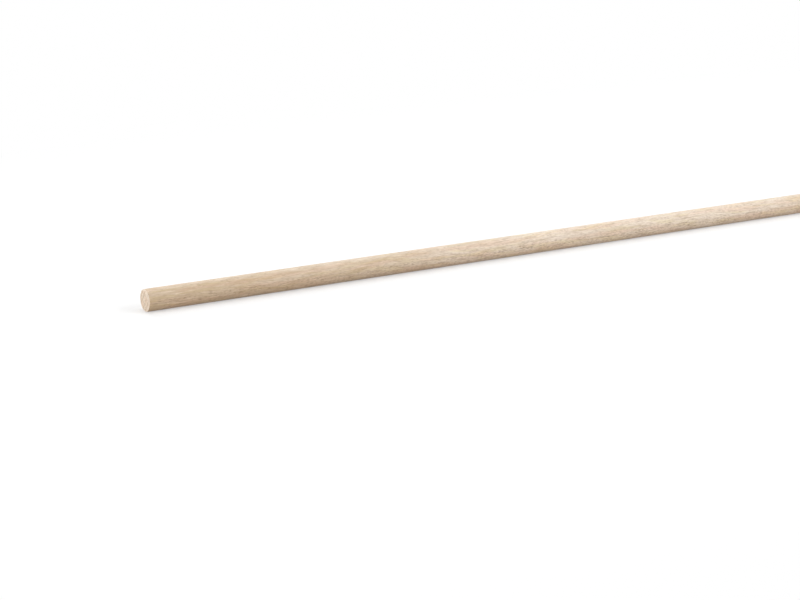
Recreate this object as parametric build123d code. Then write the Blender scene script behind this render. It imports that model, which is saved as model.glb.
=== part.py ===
from build123d import *
import os

# A straight round dowel rod of beech, planed to size and cross-cut square at both ends.
#
# It is one solid piece. Lengths are in millimetres. The rod lies along X with its middle
# at the origin: its near end faces -X, its far end faces +X, and +Z is up.

# Driving dimensions
rod_diameter = 10.0  # finished diameter of the shank
rod_length = 1000.0  # from one sawn face to the other
near_rim_radius = 0.3  # how far the rim of the near end is eased
far_rim_radius = 0.3  # how far the rim of the far end is eased


def outer_corner(section, end):
    """The corner where a sawn face meets the shank: end is 0 for near and -1 for far."""
    return section.vertices().group_by(Axis.X)[end].sort_by(Axis.Y)[-1]


def half_section():
    """Half of the rod's lengthwise section, from its axis up to the surface of the shank.

    It is drawn flat, with the rod's axis along X and the surface on the +Y side. Its outer
    corners are rounded, because a sawn rim soon wears soft.
    """
    with BuildSketch() as section:
        with Locations((0, rod_diameter / 4)):
            Rectangle(rod_length, rod_diameter / 2)
        fillet(outer_corner(section, 0), near_rim_radius)
        fillet(outer_corner(section, -1), far_rim_radius)
    return section.sketch


def dowel_rod():
    """The whole rod: its half section, turned once round the rod's axis."""
    rod = revolve(half_section(), axis=Axis.X)
    rod.label = "dowel_rod"
    return rod


os.makedirs("parts", exist_ok=True)
export_step(dowel_rod(), "parts/dowel_rod.step")
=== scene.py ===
import math

import bpy
import numpy as np
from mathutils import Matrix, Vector


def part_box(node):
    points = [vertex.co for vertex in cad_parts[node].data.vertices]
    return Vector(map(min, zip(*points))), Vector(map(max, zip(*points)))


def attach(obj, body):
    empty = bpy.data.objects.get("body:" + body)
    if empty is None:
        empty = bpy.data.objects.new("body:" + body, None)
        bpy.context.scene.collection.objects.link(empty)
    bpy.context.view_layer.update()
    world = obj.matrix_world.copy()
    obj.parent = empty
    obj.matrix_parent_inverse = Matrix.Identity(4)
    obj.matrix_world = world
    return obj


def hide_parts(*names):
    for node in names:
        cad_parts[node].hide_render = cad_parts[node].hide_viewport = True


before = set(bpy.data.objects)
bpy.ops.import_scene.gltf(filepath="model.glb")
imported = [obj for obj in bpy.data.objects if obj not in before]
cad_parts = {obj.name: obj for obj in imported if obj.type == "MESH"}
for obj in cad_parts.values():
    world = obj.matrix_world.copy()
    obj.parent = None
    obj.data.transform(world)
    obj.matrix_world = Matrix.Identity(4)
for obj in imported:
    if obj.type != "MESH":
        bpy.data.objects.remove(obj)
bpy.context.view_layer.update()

# The looks of a straight, round dowel rod of beech. The rod lies along X, its near end
# faces -X and Z is up. Lengths are in metres, apart from values whose name ends in _MM,
# and the named angles are in degrees.

ROD_LOW, ROD_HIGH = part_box("dowel_rod")
MM = 0.001

# The rod's form
ROD_LENGTH = ROD_HIGH.x - ROD_LOW.x
ROD_RADIUS = (ROD_HIGH.z - ROD_LOW.z) / 2
RIM_RADIUS = 0.3 * MM

# The rod's mesh
SIDES = 90  # faces round the shank
SHANK_STEP = 1.05 * MM  # length of a face in the middle of the shank
END_STEP = 0.18 * MM  # length of the face beside a rim
STEP_GROWTH = 1.1  # each face is this much longer than the one nearer the end
RIM_STEPS = 5  # faces from the shank round to a sawn end
FACE_STEPS = 18  # faces from the middle of a sawn end to its rim

# How the tree lies in the rod: its fibres leave the rod's axis at a small angle
FIBRE_RISE = -0.03  # for each unit along X
FIBRE_DRIFT = 0.02  # towards +Y for each unit along X
BARK_ANGLE = 205.0  # the side of the rod nearest the bark, from +Y round towards +Z
PITH_DISTANCE_MM = 85.0
RING_WIDTH_MM = 2.4
SWAY_MM = 5.0  # the fibres and rings wander sideways within this width
SWAY_LENGTH_MM = 80.0  # and turn back over lengths of about this


def wood_directions():
    """Unit vectors along the fibres, out towards the bark, and round the growth rings."""
    fibre = Vector((1.0, FIBRE_DRIFT, FIBRE_RISE)).normalized()
    angle = math.radians(BARK_ANGLE)
    bark = Vector((0.0, math.cos(angle), math.sin(angle)))
    bark = (bark - bark.dot(fibre) * fibre).normalized()
    return fibre, bark, fibre.cross(bark)


# ---------------------------------------------------------------- noise for the mesh

# Large odd numbers and shifts that scramble a lattice point into a pseudo-random number
HASH_X, HASH_Y, HASH_Z = np.uint64(73856093), np.uint64(19349663), np.uint64(83492791)
HASH_SEED = 2654435761
HASH_FIRST, SHIFT_FIRST = np.uint64(0x9E3779B97F4A7C15), np.uint64(29)
HASH_SECOND, SHIFT_SECOND = np.uint64(0xBF58476D1CE4E5B9), np.uint64(32)
HASH_KEPT = np.uint64(0xFFFFF)  # the bits that make the number
HASH_MIDDLE = 0x7FFFF  # half of the largest number they can hold, rounded down
LATTICE_OFFSET = 1000.0  # keeps every lattice point above zero


def lattice_value(corner, seed):
    """A fixed pseudo-random number from -1 to 1 for each whole-number point."""
    x, y, z = (corner[:, i].astype(np.uint64) for i in range(3))
    mixed = x * HASH_X ^ y * HASH_Y ^ z * HASH_Z
    mixed = (mixed ^ np.uint64(seed * HASH_SEED)) * HASH_FIRST
    mixed ^= mixed >> SHIFT_FIRST
    mixed *= HASH_SECOND
    mixed ^= mixed >> SHIFT_SECOND
    return (mixed & HASH_KEPT).astype(float) / HASH_MIDDLE - 1.0


def smooth_noise(points, cell, seed):
    """Smooth noise from -1 to 1 at each point, with cells of the given size on each axis."""
    scaled = points / np.array(cell) + LATTICE_OFFSET
    base = np.floor(scaled).astype(np.int64)
    part = scaled - base
    part = part * part * (3 - 2 * part)
    total = np.zeros(len(scaled))
    for corner in np.ndindex(2, 2, 2):
        weight = np.prod(np.where(corner, part, 1 - part), axis=1)
        total += weight * lattice_value(base + np.array(corner), seed)
    return total


# ---------------------------------------------------------------- the rod's relief

SHANK_SINK_MM = 0.022  # mean depth of the shank below its true surface, dents apart
FACE_SINK_MM = 0.10  # the same on a sawn end, which is rougher

# Sizes of marks: along the fibres, out towards the bark, and round the rings
LONG_FIBRE_SIZE_MM = (16, 1.1, 1.1)
SHORT_FIBRE_SIZE_MM = (6, 0.75, 0.75)
PLANING_SIZE_MM = (70, 5, 5)
TORN_SIZE_MM = (9.0, 0.7, 0.5)

# Sizes of marks along X, Y and Z
DENT_SIZE_MM = (5.5, 2.2, 2.2)
SAW_MARK_SIZE_MM = (9.0, 6.0, 0.55)
PIT_SIZE_MM = (0.9, 0.75, 0.75)
WEAR_SIZE_MM = (2.5, 1.6, 1.6)
CHIP_SIZE_MM = (1.1, 0.9, 0.9)

# The depth that each unit of a mark's noise makes
FIBRE_DEPTH_MM = 0.012
PLANING_DEPTH_MM = 0.010
DENT_DEPTH_MM = 0.22
SAW_MARK_DEPTH_MM = 0.035
TORN_DEPTH_MM = 0.025
PIT_DEPTH_MM = 0.040
WEAR_DEPTH_MM = 0.07
CHIP_DEPTH_MM = 0.65

LONG_FIBRE_SHARE, SHORT_FIBRE_SHARE = 0.6, 0.4  # of the relief that the fibres make
DENT_START = 0.66  # there is a dent where its noise is above this
CHIP_START = 0.25  # the same for a chip in a rim
WEAR_REACH_MM = 1.1  # how far from a rim its wear reaches
DEEPEST_WEAR_MM = 0.15  # of a worn rim, which stays shallower than its rounding


def shank_relief_mm(points, wood):
    """How deep the planed shank lies below its true surface."""
    fibres = LONG_FIBRE_SHARE * smooth_noise(wood, LONG_FIBRE_SIZE_MM, seed=11)
    fibres += SHORT_FIBRE_SHARE * smooth_noise(wood, SHORT_FIBRE_SIZE_MM, seed=12)
    planing = smooth_noise(wood, PLANING_SIZE_MM, seed=13)
    dents = np.maximum(smooth_noise(points, DENT_SIZE_MM, seed=14) - DENT_START, 0)
    depth = SHANK_SINK_MM + FIBRE_DEPTH_MM * fibres + PLANING_DEPTH_MM * planing
    return depth + DENT_DEPTH_MM * dents


def face_relief_mm(points, wood):
    """How deep a sawn end lies below its true surface."""
    saw_marks = smooth_noise(points, SAW_MARK_SIZE_MM, seed=15)
    torn = smooth_noise(wood, TORN_SIZE_MM, seed=16)
    pits = smooth_noise(points, PIT_SIZE_MM, seed=19)
    depth = FACE_SINK_MM + SAW_MARK_DEPTH_MM * saw_marks + TORN_DEPTH_MM * torn
    return depth + PIT_DEPTH_MM * pits


def rim_wear_mm(points):
    """How much deeper the wood lies near a rim, which is rubbed and chipped."""
    from_end = ROD_LENGTH / 2 / MM - np.abs(points[:, 0])
    from_rim = from_end + ROD_RADIUS / MM - np.hypot(points[:, 1], points[:, 2])
    near_rim = np.clip(1 - from_rim / WEAR_REACH_MM, 0, 1) ** 2
    uneven = 0.5 + 0.5 * smooth_noise(points, WEAR_SIZE_MM, seed=17)
    chips = np.maximum(smooth_noise(points, CHIP_SIZE_MM, seed=18) - CHIP_START, 0)
    wear = near_rim * (WEAR_DEPTH_MM * uneven + CHIP_DEPTH_MM * chips)
    return np.minimum(wear, DEEPEST_WEAR_MM)


def relief_mm(points, slant):
    """How deep each vertex lies below the true surface, from its place in millimetres."""
    wood = points @ np.array(wood_directions()).T
    on_face = np.sin(slant) ** 2
    shank = (1 - on_face) * shank_relief_mm(points, wood)
    return shank + on_face * face_relief_mm(points, wood) + rim_wear_mm(points)


# ---------------------------------------------------------------- the rod's mesh

def shank_stations():
    """Places along X of the rings of vertices on the shank, closer near both ends."""
    half = ROD_LENGTH / 2 - RIM_RADIUS
    steps, step = [], END_STEP
    while sum(steps) + step < half:
        steps.append(step)
        step = min(step * STEP_GROWTH, SHANK_STEP)
    offsets = np.cumsum(steps + [step])
    left = -half + np.concatenate([[0.0], offsets * half / offsets[-1]])
    return np.concatenate([left, -left[-2::-1]])


def rings():
    """X, radius and slant of each ring of vertices, from the near end to the far end.

    The slant is how far the surface there has turned, in radians, from the shank (0) to a
    sawn end (a quarter turn).
    """
    quarter = np.linspace(math.pi / 2, 0, RIM_STEPS + 1)
    face_r = (ROD_RADIUS - RIM_RADIUS) * np.linspace(0, 1, FACE_STEPS + 1)[1:-1]
    rim_r = ROD_RADIUS - RIM_RADIUS * (1 - np.cos(quarter))
    rim_x = RIM_RADIUS * (1 - np.sin(quarter))
    end_x = np.concatenate([np.zeros(len(face_r)), rim_x]) - ROD_LENGTH / 2
    end_r = np.concatenate([face_r, rim_r])
    end_slant = np.concatenate([np.full(len(face_r), math.pi / 2), quarter])
    shank_x = shank_stations()[1:-1]
    x = np.concatenate([end_x, shank_x, -end_x[::-1]])
    r = np.concatenate([end_r, np.full(len(shank_x), ROD_RADIUS), end_r[::-1]])
    slant = np.concatenate([end_slant, np.zeros(len(shank_x)), end_slant[::-1]])
    return x, r, slant


def rod_vertices(x, r, slant):
    """The place of each vertex, ring by ring, then the middles of both sawn ends."""
    angle = np.linspace(0, 2 * math.pi, SIDES, endpoint=False) - math.pi / 2
    angle, slant = np.tile(angle, len(x)), np.repeat(slant, SIDES)
    x, r = np.repeat(x, SIDES), np.repeat(r, SIDES)
    points = np.stack([x, r * np.cos(angle), r * np.sin(angle)], axis=1)
    outward = np.stack([np.sign(x) * np.sin(slant), np.cos(slant) * np.cos(angle),
                        np.cos(slant) * np.sin(angle)], axis=1)
    middles = np.array([[-ROD_LENGTH / 2, 0.0, 0.0], [ROD_LENGTH / 2, 0.0, 0.0]])
    points = np.concatenate([points, middles])
    outward = np.concatenate([outward, np.sign(middles)])
    slant = np.concatenate([slant, np.full(2, math.pi / 2)])
    return points - outward * relief_mm(points / MM, slant)[:, None] * MM


def rod_faces(ring_count):
    """Corner numbers of the quads between rings, and of the fans at both ends."""
    side = np.arange(SIDES)
    after = (side + 1) % SIDES
    ring = np.arange(ring_count - 1)[:, None] * SIDES
    quads = np.stack([ring + side, ring + after, ring + SIDES + after, ring + SIDES + side],
                     axis=-1).reshape(-1, 4)
    near, far = ring_count * SIDES, ring_count * SIDES + 1
    last = (ring_count - 1) * SIDES
    fan_near = np.stack([np.full(SIDES, near), after, side], axis=1)
    fan_far = np.stack([np.full(SIDES, far), last + side, last + after], axis=1)
    return quads.tolist() + fan_near.tolist() + fan_far.tolist()


# ---------------------------------------------------------------- the rod's UV map

UV_ROWS = 5  # the shank is cut across into this many lengths, laid one above another
UV_ROW_FIT = 0.995  # leaves room for a length that is a face longer than its share
UV_CUT_TOLERANCE = MM / 100  # a ring this close to a cut counts as lying on it
UV_MARGIN = 0.01
UV_FACE_ENLARGED = 2.6  # a sawn end is this much larger than the shank in the map


class UvMap:
    """Where each face of the rod lies in the map: the shank's rows, then both sawn ends."""

    def __init__(self, x, r, slant):
        self.x = x
        shank = np.flatnonzero(slant == 0)
        self.first, self.last = shank[0], shank[-1]
        start, end = x[self.first], x[self.last]
        self.scale = (1 - 2 * UV_MARGIN) * UV_ROWS / (end - start) * UV_ROW_FIT
        self.height = 2 * math.pi * ROD_RADIUS * self.scale
        places = np.linspace(start, end, UV_ROWS + 1)
        self.cuts = np.searchsorted(x, places - UV_CUT_TOLERANCE)

        steps = np.cumsum(np.hypot(np.diff(x), np.diff(r)))
        reach = np.concatenate([[r[0]], r[0] + steps])  # along the surface, from the middle
        disc = self.scale * UV_FACE_ENLARGED
        self.near_radius = disc * reach
        self.far_radius = disc * (reach[-1] + reach[0] - reach)
        self.fan_radius = disc * r[0]
        disc_radius = disc * reach[self.first]
        self.near_u = UV_MARGIN + disc_radius
        self.far_u = 2 * UV_MARGIN + 3 * disc_radius
        self.disc_v = UV_MARGIN + UV_ROWS * (self.height + UV_MARGIN) + disc_radius

        side = np.arange(SIDES)
        self.corner_side = np.stack([side, side + 1, side + 1, side], axis=1)
        self.turn = 2 * math.pi * self.corner_side / SIDES

    def on_disc(self, middle_u, radius, turn, sense):
        """Places on a sawn end's disc. The sense is -1 at the near end and 1 at the far end."""
        return np.stack([middle_u + sense * radius * np.cos(turn),
                         self.disc_v + radius * np.sin(turn)], -1)

    def ring_corners(self, ring):
        """Corners of the quads from one ring to the next."""
        ends = [ring, ring, ring + 1, ring + 1]
        if ring < self.first:
            return self.on_disc(self.near_u, self.near_radius[ends], self.turn, sense=-1)
        if ring >= self.last:
            return self.on_disc(self.far_u, self.far_radius[ends], self.turn, sense=1)
        row = np.searchsorted(self.cuts, ring, side="right") - 1
        u = UV_MARGIN + (self.x[ends] - self.x[self.cuts[row]]) * self.scale
        v = UV_MARGIN + row * (self.height + UV_MARGIN) + self.height * self.corner_side / SIDES
        return np.stack([np.broadcast_to(u, v.shape), v], -1)

    def fan_corners(self, middle_u, sense):
        """Corners of the triangles round the middle of a sawn end."""
        here, there = self.turn[:, 0], self.turn[:, 1]
        order = (here, there) if sense > 0 else (there, here)
        middle = np.broadcast_to([middle_u, self.disc_v], (SIDES, 2))
        spokes = [self.on_disc(middle_u, self.fan_radius, turn, sense) for turn in order]
        return np.stack([middle] + spokes, axis=1)

    def corners(self):
        """The map's two coordinates for each corner of each face, in the faces' order."""
        parts = [self.ring_corners(ring) for ring in range(len(self.x) - 1)]
        parts.append(self.fan_corners(self.near_u, sense=-1))
        parts.append(self.fan_corners(self.far_u, sense=1))
        return np.concatenate([part.reshape(-1, 2) for part in parts])


def make_rod():
    x, r, slant = rings()
    mesh = bpy.data.meshes.new("beech_rod")
    mesh.from_pydata(rod_vertices(x, r, slant).tolist(), [], rod_faces(len(x)))
    layer = mesh.uv_layers.new(name="OFBake")
    layer.uv.foreach_set("vector", UvMap(x, r, slant).corners().ravel())
    mesh.shade_smooth()
    rod = bpy.data.objects.new("beech_rod", mesh)
    bpy.context.scene.collection.objects.link(rod)
    return rod


# ---------------------------------------------------------------- shader nodes

MIX_SHARE, MIX_BELOW, MIX_ABOVE, MIX_RESULT = 0, 6, 7, 2  # sockets for mixing two colours


class Graph:
    """Short calls for making a material's nodes and joining them."""

    def __init__(self, owner):
        owner.use_nodes = True
        self.tree = owner.node_tree
        self.tree.nodes.clear()

    def node(self, kind, inputs, **settings):
        made = self.tree.nodes.new("ShaderNode" + kind)
        for name, value in settings.items():
            setattr(made, name, value)
        for name, value in inputs.items():
            if isinstance(value, bpy.types.NodeSocket):
                self.tree.links.new(value, made.inputs[name])
            else:
                made.inputs[name].default_value = value
        return made

    def math(self, operation, *values):
        return self.node("Math", dict(enumerate(values)), operation=operation).outputs[0]

    def times(self, value, factor):
        return self.math("MULTIPLY", value, factor)

    def dot(self, vector, direction):
        made = self.node("VectorMath", {0: vector, 1: direction}, operation="DOT_PRODUCT")
        return made.outputs["Value"]

    def length(self, vector, weights):
        """The length of a vector whose three parts are first multiplied by the weights."""
        weighed = self.node("VectorMath", {0: vector, 1: weights}, operation="MULTIPLY")
        made = self.node("VectorMath", {0: weighed.outputs[0]}, operation="LENGTH")
        return made.outputs["Value"]

    def vector(self, x, y, z):
        return self.node("CombineXYZ", {0: x, 1: y, 2: z}).outputs[0]

    def noise(self, vector, detail=2.0, roughness=0.5):
        inputs = {"Vector": vector, "Scale": 1.0, "Detail": detail, "Roughness": roughness}
        return self.node("TexNoise", inputs).outputs[0]

    def ramp(self, value, low, high, start=0.0, end=1.0):
        """A smooth change from start, where value is low, to end, where it is high."""
        inputs = {"Value": value, "From Min": low, "From Max": high,
                  "To Min": start, "To Max": end}
        made = self.node("MapRange", inputs, interpolation_type="SMOOTHSTEP")
        return made.outputs["Result"]

    def mix(self, share, below, above, blend="MIX"):
        inputs = {MIX_SHARE: share, MIX_BELOW: below, MIX_ABOVE: above}
        made = self.node("Mix", inputs, data_type="RGBA", blend_type=blend)
        return made.outputs[MIX_RESULT]


# ---------------------------------------------------------------- the tree inside the rod

SMALLEST_RAY = 0.35  # its size as a share of the largest ray's
RAY_RAGGEDNESS = 1.2  # how much a ray's outline strays, in and out, as the same share
RAY_CUT_FLAT = 0.3  # how strongly a ray shows where it is cut flat
SPACING_CHANGES = 0.35  # how often the rings' spacing changes in each millimetre outwards


class Tree:
    """Coordinates of the tree inside the rod, in millimetres, and the marks it leaves."""

    def __init__(self, graph):
        self.graph = graph
        place = graph.node("TexCoord", {}).outputs["Object"]
        scaled = graph.node("VectorMath", {0: place, "Scale": 1 / MM}, operation="SCALE")
        self.place = scaled.outputs[0]
        fibre, bark, tangent = wood_directions()
        self.along = graph.dot(self.place, fibre)
        sway = graph.noise(graph.vector(graph.times(self.along, 1 / SWAY_LENGTH_MM), 0.0, 0.0))
        sway = graph.math("MULTIPLY_ADD", sway, SWAY_MM, -SWAY_MM / 2)
        self.out = graph.math("ADD", graph.dot(self.place, bark), sway)
        self.round = graph.math("ADD", graph.dot(self.place, tangent), sway)
        facing = graph.node("TexCoord", {}).outputs["Normal"]
        self.cut_flat = graph.math("ABSOLUTE", graph.dot(facing, tangent))

    def cells(self, size, shift):
        """The tree's coordinates, in cells of the given size in millimetres.

        The size is along the fibres, out towards the bark, and round the rings. The shift,
        in cells along the fibres, keeps two patterns from being alike.
        """
        g = self.graph
        along, out, round_ = size
        return g.vector(g.math("MULTIPLY_ADD", self.along, 1 / along, shift),
                        g.times(self.out, 1 / out), g.times(self.round, 1 / round_))

    def rays(self, size, fill, shift):
        """Rays of the given size: thin upright sheets of cells, 1 inside one and 0 between.

        The largest fills the given share of its cell. They show where they are cut across,
        and fainter where they are cut flat.
        """
        g = self.graph
        along, out, round_ = size
        spots = g.node("TexVoronoi", {"Vector": self.cells(size, shift), "Scale": 1.0})
        chance = g.node("SeparateColor", {0: spots.outputs["Color"]}).outputs[0]
        radius = g.ramp(chance, low=0.0, high=1.0, start=SMALLEST_RAY * fill, end=fill)
        ragged = g.noise(self.cells((along / 4, out / 5, round_ / 3), shift),
                         detail=3.0, roughness=0.6)
        reach = g.math("MULTIPLY_ADD", ragged, RAY_RAGGEDNESS * fill, spots.outputs["Distance"])
        reach = g.math("SUBTRACT", reach, RAY_RAGGEDNESS / 2 * fill)
        ray = g.ramp(g.math("DIVIDE", reach, radius), low=1.0, high=0.5)
        shown = g.ramp(self.cut_flat, low=0.35, high=0.95, start=1.0, end=RAY_CUT_FLAT)
        return g.times(ray, shown)

    def rings(self):
        """Growth rings: 0 in early wood, rising to 1 at each late-wood line."""
        g = self.graph
        from_pith = g.math("ADD", self.out, PITH_DISTANCE_MM)
        radius = g.math("SQRT", g.math("ADD", g.math("POWER", from_pith, 2.0),
                                       g.math("POWER", self.round, 2.0)))
        uneven = g.noise(g.vector(g.times(radius, SPACING_CHANGES), 0.0, 0.0), detail=1.0)
        count = g.math("MULTIPLY_ADD", radius, 1 / RING_WIDTH_MM, uneven)
        phase = g.math("FRACT", count)
        rise = g.ramp(phase, low=0.4, high=0.94)
        fall = g.ramp(phase, low=1.0, high=0.95)
        return g.times(rise, fall)


# ---------------------------------------------------------------- the rod's material

def tone(red, green, blue):
    return (red, green, blue, 1.0)


# The wood's tone along the rod, partly painted light: tan at the near end, which stands in for
# shade there, then pale, which stands in for sheen, then a light tan
TONE_PERIOD_MM = 620.0  # half of this takes it from tan to its palest
PALEST_X_MM = -212.0
TONE_SETTLES_MM = 220.0  # this far beyond its palest place, the wood keeps to one tone
PATCH_CONTRAST = 2.1  # how much the tone varies from patch to patch
TONE_RANGE = 1.3  # tone values this far below and above 0 are all tan and all pale

# Sizes of the marks in the wood: along the fibres, out to the bark, and round the rings
PATCH_SIZE_MM = (40, 5, 5)
BLUSH_SIZE_MM = (24, 2.6, 2.6)
STRAW_SIZE_MM = (17, 1.5, 1.5)
STREAK_SIZE_MM = (8.5, 0.5, 0.5)
FIBRE_SIZE_MM = (3.0, 0.16, 0.16)
FINE_RAY_SIZE_MM = (2.4, 2.0, 0.2)
TALL_RAY_SIZE_MM = (5.0, 3.0, 0.35)
RAY_LINE_SIZE_MM = (8.0, 14.0, 0.15)

# How strongly each mark shows on the shank, from 0 to 1
RINGS_SHOW = 0.14
PALE_STREAKS_SHOW = 0.6
DARK_STREAKS_SHOW = 0.68
FIBRES_SHOW = 0.75
FINE_RAYS_SHOW = 0.95
TALL_RAYS_SHOW = 0.75

# The same on a sawn end
END_MOTTLE_SHOWS = 0.42
END_RINGS_SHOW = 0.45
END_FIBRES_SHOW = 0.35
END_RAY_LINES_SHOW = 0.7
# painted highlight: how strongly a sawn end grows paler towards its rim, as if the eased rim
# caught the light
END_RIM_HIGHLIGHT_SHOWS = 0.7

# Where a sawn end starts
SHANK_LOOKS_END_MM = 0.4  # from the end of the rod, where a sawn end's looks set in
SAWN_LOOKS_START_MM = 0.2  # from here to the end they are all that shows
RIM_HIGHLIGHT_START_MM = 4.1  # from the rod's axis, where a painted highlight starts to make the end paler towards its rim
RIM_HIGHLIGHT_FULL_MM = 4.8

# The finest relief, which the shader makes: heights of marks as shares of BUMP_DEPTH
FIBRE_HEIGHT = 0.5
STREAK_HEIGHT = 0.5
RAY_HEIGHT = -0.35
SAWN_HEIGHT = 2.5
BUMP_DEPTH = 0.04 * MM
BUMP_STRENGTH = 0.5

# Roughness, from 0 for a mirror to 1
SMOOTHEST_WOOD, ROUGHEST_WOOD = 0.52, 0.66
SAWN_ROUGHER = 0.2  # how much rougher a sawn end is than the shank

# The wood's colours
# tan: the wood's own darker patches, and painted shade where the drift along the rod darkens
# the near end
TAN = tone(0.59, 0.465, 0.33)
# the palest tone: the wood's own pale patches, and painted sheen where the drift along the rod
# is palest
PALE_WOOD_AND_SHEEN = tone(0.85, 0.753, 0.652)
ROSE_TINT = tone(1.0, 0.93, 0.90)
STRAW_TINT = tone(0.985, 0.985, 0.86)
PALE_STREAK = tone(0.82, 0.70, 0.56)
STREAK = tone(0.49, 0.36, 0.24)
LATE_WOOD = tone(0.50, 0.35, 0.235)
RAY = tone(0.34, 0.225, 0.145)
END_PALE = tone(0.845, 0.745, 0.63)
END_DARK = tone(0.44, 0.335, 0.235)
# painted highlight along the rim of a sawn end
END_RIM_HIGHLIGHT = tone(0.89, 0.79, 0.69)


class Marks:
    """The wood's marks, each a value from 0 to 1, and the place on the rod in millimetres.

    The value of sawn is 1 on a sawn end and 0 on the shank.
    """

    def __init__(self, g):
        tree = Tree(g)
        self.x = g.node("SeparateXYZ", {0: tree.place}).outputs[0]
        self.from_axis = g.length(tree.place, (0.0, 1.0, 1.0))
        end = ROD_LENGTH / 2 / MM
        self.sawn = g.ramp(g.math("ABSOLUTE", self.x), low=end - SHANK_LOOKS_END_MM,
                           high=end - SAWN_LOOKS_START_MM)

        self.mottle = g.noise(tree.place, detail=3.0, roughness=0.6)
        self.ray_lines = g.noise(tree.cells(RAY_LINE_SIZE_MM, shift=240.0), detail=1.0)
        self.patches = g.noise(tree.cells(PATCH_SIZE_MM, shift=0.0))
        self.blush = g.noise(tree.cells(BLUSH_SIZE_MM, shift=40.0))
        self.straw = g.noise(tree.cells(STRAW_SIZE_MM, shift=60.0))
        self.streaks = g.noise(tree.cells(STREAK_SIZE_MM, shift=80.0),
                               detail=3.0, roughness=0.65)
        self.fibres = g.noise(tree.cells(FIBRE_SIZE_MM, shift=120.0),
                              detail=2.0, roughness=0.6)
        self.rings = tree.rings()
        self.fine_rays = tree.rays(FINE_RAY_SIZE_MM, fill=0.47, shift=160.0)
        self.tall_rays = tree.rays(TALL_RAY_SIZE_MM, fill=0.38, shift=200.0)


def tone_and_painted_light(g, marks):
    """How pale the wood is: it drifts along the rod, as painted shade towards the near end and
    painted sheen in the pale stretch, and varies from patch to patch.
    """
    from_palest = g.math("SUBTRACT", marks.x, PALEST_X_MM)
    from_palest = g.math("MINIMUM", from_palest, TONE_SETTLES_MM)
    # painted light: darker towards the near end, palest around PALEST_X_MM
    painted_light_drift = g.math("COSINE", g.times(from_palest, 2 * math.pi / TONE_PERIOD_MM))
    patch = g.math("SUBTRACT", marks.patches, 0.5)
    return g.math("MULTIPLY_ADD", patch, PATCH_CONTRAST, painted_light_drift)


def shank_colour(g, marks):
    """The base tone, its tints, and each mark laid over them at its own strength."""
    tone_value = tone_and_painted_light(g, marks)
    # painted shade and painted sheen: the drift along the rod darkens the near end and pales
    # the stretch around its palest place, over the wood's own patchy tone
    colour = g.mix(g.ramp(tone_value, low=-TONE_RANGE, high=TONE_RANGE), TAN, PALE_WOOD_AND_SHEEN)
    colour = g.mix(g.ramp(marks.blush, low=0.42, high=0.62), colour, ROSE_TINT, "MULTIPLY")
    colour = g.mix(g.ramp(marks.straw, low=0.46, high=0.66), colour, STRAW_TINT, "MULTIPLY")
    colour = g.mix(g.times(marks.rings, RINGS_SHOW), colour, LATE_WOOD)
    pale = g.ramp(marks.streaks, low=0.48, high=0.28, end=PALE_STREAKS_SHOW)
    colour = g.mix(pale, colour, PALE_STREAK)
    dark = g.ramp(marks.streaks, low=0.46, high=0.70, end=DARK_STREAKS_SHOW)
    colour = g.mix(dark, colour, STREAK)
    fibres = g.ramp(marks.fibres, low=0.42, high=0.76, end=FIBRES_SHOW)
    colour = g.mix(fibres, colour, STREAK)
    colour = g.mix(g.times(marks.fine_rays, FINE_RAYS_SHOW), colour, RAY)
    return g.mix(g.times(marks.tall_rays, TALL_RAYS_SHOW), colour, RAY)


def end_colour(g, marks):
    """A sawn end: mottled, with the rings, fibres and rays cut across, and a painted highlight
    that makes it paler towards its rim.
    """
    colour = g.mix(g.ramp(marks.blush, low=0.42, high=0.6), END_PALE, ROSE_TINT, "MULTIPLY")
    mottle = g.ramp(marks.mottle, low=0.42, high=0.62, end=END_MOTTLE_SHOWS)
    colour = g.mix(mottle, colour, END_DARK)
    colour = g.mix(g.times(marks.rings, END_RINGS_SHOW), colour, END_DARK)
    fibres = g.ramp(marks.fibres, low=0.45, high=0.65, end=END_FIBRES_SHOW)
    colour = g.mix(fibres, colour, END_DARK)
    ray_lines = g.ramp(marks.ray_lines, low=0.52, high=0.64, end=END_RAY_LINES_SHOW)
    colour = g.mix(ray_lines, colour, END_DARK)
    # painted highlight: the end grows paler towards its rim all round
    rim_highlight = g.ramp(marks.from_axis, low=RIM_HIGHLIGHT_START_MM, high=RIM_HIGHLIGHT_FULL_MM,
                 end=END_RIM_HIGHLIGHT_SHOWS)
    return g.mix(rim_highlight, colour, END_RIM_HIGHLIGHT)


def fine_relief(g, marks):
    """The normal of a surface with relief too fine for the mesh: grain, rays and saw cuts."""
    streaks = g.times(marks.streaks, STREAK_HEIGHT)
    height = g.math("MULTIPLY_ADD", marks.fibres, FIBRE_HEIGHT, streaks)
    height = g.math("MULTIPLY_ADD", marks.fine_rays, RAY_HEIGHT, height)
    saw_cuts = g.times(g.times(marks.mottle, marks.sawn), SAWN_HEIGHT)
    height = g.math("ADD", height, saw_cuts)
    bump = g.node("Bump", {"Height": height, "Strength": BUMP_STRENGTH,
                           "Distance": BUMP_DEPTH})
    return bump.outputs[0]


def roughness(g, marks):
    shank = g.ramp(marks.streaks, low=0.3, high=0.7, start=SMOOTHEST_WOOD, end=ROUGHEST_WOOD)
    return g.math("MULTIPLY_ADD", marks.sawn, SAWN_ROUGHER, shank)


def beech_material():
    material = bpy.data.materials.new("beech")
    g = Graph(material)
    marks = Marks(g)
    shader = g.node("BsdfPrincipled", {
        "Base Color": g.mix(marks.sawn, shank_colour(g, marks), end_colour(g, marks)),
        "Roughness": roughness(g, marks),
        "Normal": fine_relief(g, marks),
        "Specular IOR Level": 0.5,
    })
    g.node("OutputMaterial", {"Surface": shader.outputs[0]})
    return material


# ---------------------------------------------------------------- floor and studio

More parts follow.
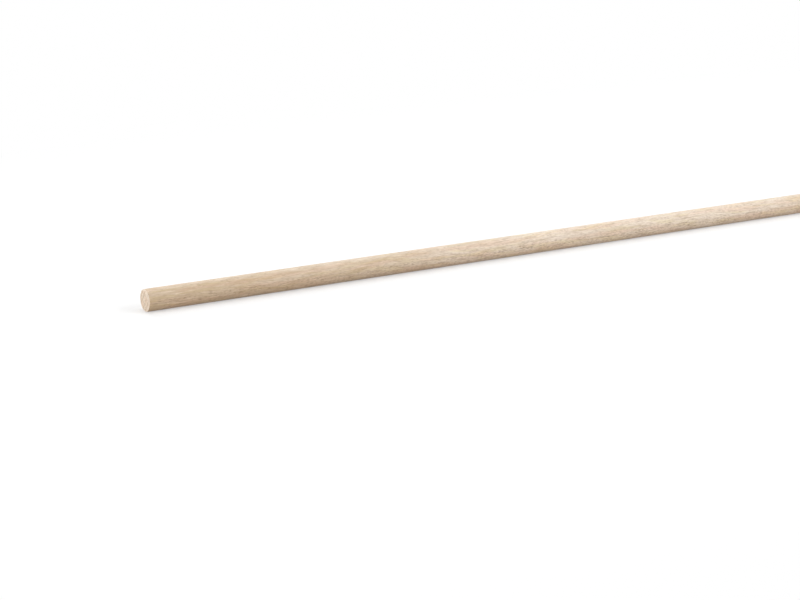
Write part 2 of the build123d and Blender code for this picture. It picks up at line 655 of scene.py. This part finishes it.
FLOOR_SIZE = 60.0
FLOOR_BOUNCE = tone(0.60, 0.54, 0.48)  # the floor's colour in the light it gives the rod
FLOOR_NEAR = tone(0.55, 0.55, 0.55)  # its colour near the rod, where it takes the shadow
FLOOR_GLOW = 0.42  # brings the lit floor near the rod up to white
WHITE = tone(1, 1, 1)
SHADOWS_FADE = 0.2  # this far from the rod's middle, the floor starts to turn plain white
SHADOWS_END = 0.4  # from here on it is plain white
SHADOW_WEIGHTS = (0.35, 1.0, 1.0)  # these distances count for less along X
STUDIO_LEVEL = 0.2  # brightness of the light that comes from all round the rod


def seen_or_plain(g, seen, plain):
    """One shader for what is seen, straight or in a mirror or glass, and one for its light."""
    path = g.node("LightPath", {}).outputs
    is_seen = path["Is Camera Ray"]
    for kind in ("Is Glossy Ray", "Is Transmission Ray"):
        is_seen = g.math("MAXIMUM", is_seen, path[kind])
    return g.node("MixShader", {0: is_seen, 1: plain, 2: seen})


def floor_material():
    """White where it is seen, the rod's shadow apart, and duller in the light it gives."""
    material = bpy.data.materials.new("floor_white")
    g = Graph(material)
    plain = g.node("BsdfDiffuse", {"Color": FLOOR_BOUNCE}).outputs[0]
    near = g.node("BsdfDiffuse", {"Color": FLOOR_NEAR}).outputs[0]
    glow = g.node("Emission", {"Color": WHITE, "Strength": FLOOR_GLOW}).outputs[0]
    shaded = g.node("AddShader", {0: near, 1: glow}).outputs[0]
    white = g.node("Emission", {"Color": WHITE, "Strength": 1.0}).outputs[0]
    away = g.length(g.node("TexCoord", {}).outputs["Object"], SHADOW_WEIGHTS)
    share = g.ramp(away, low=SHADOWS_FADE, high=SHADOWS_END)
    seen = g.node("MixShader", {0: share, 1: shaded, 2: white}).outputs[0]
    both = seen_or_plain(g, seen, plain)
    g.node("OutputMaterial", {"Surface": both.outputs[0]})
    return material


def make_floor():
    half, z = FLOOR_SIZE / 2, ROD_LOW.z
    corners = [(-half, -half, z), (half, -half, z), (half, half, z), (-half, half, z)]
    mesh = bpy.data.meshes.new("floor")
    mesh.from_pydata(corners, [], [(0, 1, 2, 3)])
    mesh.materials.append(floor_material())
    floor = bpy.data.objects.new("floor", mesh)
    bpy.context.scene.collection.objects.link(floor)


def make_world():
    world = bpy.data.worlds.new("studio")
    bpy.context.scene.world = world
    g = Graph(world)
    plain = g.node("Background", {"Color": WHITE, "Strength": STUDIO_LEVEL}).outputs[0]
    seen = g.node("Background", {"Color": WHITE, "Strength": 1.0}).outputs[0]
    both = seen_or_plain(g, seen, plain)
    g.node("OutputWorld", {"Surface": both.outputs[0]})


# ---------------------------------------------------------------- lamps and camera

ROD_MIDDLE = (0.0, 0.0, 0.0)
CAMERA_LENS_MM = 85.0
CAMERA_SENSOR_MM = 36.0
CAMERA_NEAREST = 0.01  # it shows nothing closer than this
CAMERA_AZIMUTH = -31.2  # 0 looks along +Y
CAMERA_ELEVATION = 15.3
NEAR_END_DEPTH = 0.810  # how far in front of the camera the near end lies
NEAR_END_LEFT = 0.1096  # how far left of the line of sight it lies
NEAR_END_DROP = 0.25 * MM  # how far below the line of sight it lies


def soft_box(name, place, aim, size, power, mirrored=True):
    """A square lamp that faces its aim. If it isn't mirrored, it makes no highlight."""
    light = bpy.data.lights.new(name, "AREA")
    light.size = size
    light.energy = power
    lamp = bpy.data.objects.new(name, light)
    lamp.location = place
    lamp.rotation_mode = "QUATERNION"
    lamp.rotation_quaternion = (Vector(aim) - Vector(place)).to_track_quat("-Z", "Y")
    lamp.visible_camera = False
    lamp.visible_glossy = mirrored
    bpy.context.scene.collection.objects.link(lamp)


def make_camera():
    data = bpy.data.cameras.new("camera")
    data.lens = CAMERA_LENS_MM
    data.sensor_width = CAMERA_SENSOR_MM
    data.clip_start = CAMERA_NEAREST
    camera = bpy.data.objects.new("camera", data)
    bpy.context.scene.collection.objects.link(camera)
    azimuth = math.radians(CAMERA_AZIMUTH)
    elevation = math.radians(CAMERA_ELEVATION)
    ahead = Vector((-math.sin(azimuth) * math.cos(elevation),
                    math.cos(azimuth) * math.cos(elevation), -math.sin(elevation)))
    right = Vector((math.cos(azimuth), math.sin(azimuth), 0.0))
    up = right.cross(ahead)
    near_end = Vector((ROD_LOW.x, 0.0, 0.0))
    camera.location = near_end + right * NEAR_END_LEFT + up * NEAR_END_DROP
    camera.location -= ahead * NEAR_END_DEPTH
    camera.rotation_mode = "QUATERNION"
    camera.rotation_quaternion = ahead.to_track_quat("-Z", "Y")
    bpy.context.scene.camera = camera


# ---------------------------------------------------------------- the scene

make_camera()
make_world()
make_floor()
soft_box("top", place=(0.3, 0.5, 2.4), aim=ROD_MIDDLE, size=2.4, power=23.5)
soft_box("back", place=(0.0, 2.2, 1.6), aim=ROD_MIDDLE, size=2.0, power=28.0)
soft_box("front", place=(1.7, -2.8, 1.8), aim=ROD_MIDDLE, size=2.0, power=73.0)
soft_box("left", place=(-2.6, 0.0, 0.7), aim=(-0.2, 0.0, 0.0), size=1.2, power=36.0,
         mirrored=False)
soft_box("right", place=(3.6, -0.8, 1.4), aim=(0.2, 0.0, 0.0), size=2.0, power=72.0,
         mirrored=False)

rod = make_rod()
rod.data.materials.append(beech_material())
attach(rod, "root")
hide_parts("dowel_rod")

bpy.context.scene.view_settings.view_transform = "Standard"
